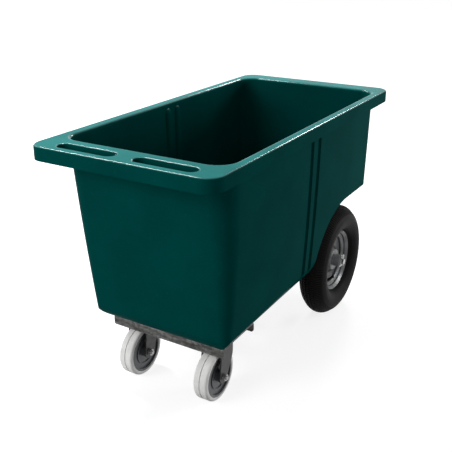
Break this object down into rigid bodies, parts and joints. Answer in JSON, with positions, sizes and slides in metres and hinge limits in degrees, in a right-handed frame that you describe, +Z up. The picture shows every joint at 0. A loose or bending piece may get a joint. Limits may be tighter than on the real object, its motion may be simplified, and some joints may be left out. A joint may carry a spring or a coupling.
{
  "type": "feed trolley",
  "caption": "Moulded feed tub with a wide rim and hand slots, stepped over large pneumatic wheels at one end, with swivel casters below the handle end.",
  "frame": {"origin": "on the floor, below the centre of the rim's outline", "axes": "+X to the right of someone at the handle end who looks along the trolley, +Y from the handle end to the large wheels, +Z up"},
  "size_m": [0.6, 1.23, 0.795],
  "materials": {
    "tub_plastic": "rotomoulded polyethylene, fine orange-peel skin",
    "frame_steel": "hot-dip galvanised, mottled",
    "axle_steel": "turned bright bar",
    "zinc_fasteners": "zinc plated",
    "caster_steel": "zinc plated pressed steel",
    "ball_steel": "polished balls",
    "caster_core": "moulded polypropylene, satin",
    "caster_tread": "grey non-marking rubber, satin",
    "tyre_rubber": "black tyre rubber",
    "tube_rubber": "butyl rubber",
    "rim_steel": "silver painted pressed steel",
    "hub_steel": "zinc plated tube",
    "bearing_plastic": "moulded nylon insert",
    "valve_rubber": "black rubber stem"
  },
  "bodies": {
    "chassis": {"tub": "tub_plastic", "front_channel": "frame_steel", "rail_left": "frame_steel", "rail_right": "frame_steel", "cross_tube": "frame_steel", "rear_leg_left": "frame_steel", "rear_leg_right": "frame_steel", "saddle_plate": "frame_steel", "axle": "axle_steel", "axle_spacer_left": "axle_steel", "axle_spacer_right": "axle_steel", "axle_washers": "zinc_fasteners", "split_pins": "zinc_fasteners", "tub_bolts": "zinc_fasteners", "tub_washers": "zinc_fasteners", "tub_nuts": "zinc_fasteners", "caster_plate_left": "caster_steel", "caster_plate_right": "caster_steel", "kingpin_left": "caster_steel", "kingpin_right": "caster_steel", "caster_screws": "zinc_fasteners", "caster_nuts": "zinc_fasteners"},
    "caster_left_fork": {"caster_fork_left": "caster_steel", "swivel_balls_left": "ball_steel", "caster_bolt_left": "zinc_fasteners", "caster_nut_left": "zinc_fasteners", "caster_spacer_left": "caster_steel"},
    "caster_left_wheel": {"caster_wheel_left": "caster_core", "caster_tyre_left": "caster_tread", "caster_bearing_left": "bearing_plastic"},
    "wheel_left": {"wheel_rim_left": "rim_steel", "wheel_hub_left": "hub_steel", "wheel_bearings_left": "bearing_plastic", "wheel_tyre_left": "tyre_rubber", "inner_tube_left": "tube_rubber", "valve_left": "valve_rubber"},
    "caster_right_fork": {"caster_fork_right": "caster_steel", "swivel_balls_right": "ball_steel", "caster_bolt_right": "zinc_fasteners", "caster_nut_right": "zinc_fasteners", "caster_spacer_right": "caster_steel"},
    "caster_right_wheel": {"caster_wheel_right": "caster_core", "caster_tyre_right": "caster_tread", "caster_bearing_right": "bearing_plastic"},
    "wheel_right": {"wheel_rim_right": "rim_steel", "wheel_hub_right": "hub_steel", "wheel_bearings_right": "bearing_plastic", "wheel_tyre_right": "tyre_rubber", "inner_tube_right": "tube_rubber", "valve_right": "valve_rubber"}
  },
  "joints": [
    {"name": "wheel_left_spin", "type": "hinge", "parent": "chassis", "child": "wheel_left", "pos_m": [-0.218, 0.321, 0.203], "axis": [1, 0, 0], "continuous": true},
    {"name": "caster_left_swivel", "type": "hinge", "parent": "chassis", "child": "caster_left_fork", "pos_m": [-0.138, -0.325, 0.186], "axis": [0, 0, 1], "continuous": true},
    {"name": "caster_left_spin", "type": "hinge", "parent": "caster_left_fork", "child": "caster_left_wheel", "pos_m": [-0.138, -0.371, 0.08], "axis": [1, 0, 0], "continuous": true},
    {"name": "wheel_right_spin", "type": "hinge", "parent": "chassis", "child": "wheel_right", "pos_m": [0.218, 0.321, 0.203], "axis": [1, 0, 0], "continuous": true},
    {"name": "caster_right_swivel", "type": "hinge", "parent": "chassis", "child": "caster_right_fork", "pos_m": [0.138, -0.325, 0.186], "axis": [0, 0, 1], "continuous": true},
    {"name": "caster_right_spin", "type": "hinge", "parent": "caster_right_fork", "child": "caster_right_wheel", "pos_m": [0.138, -0.371, 0.08], "axis": [1, 0, 0], "continuous": true}
  ]
}
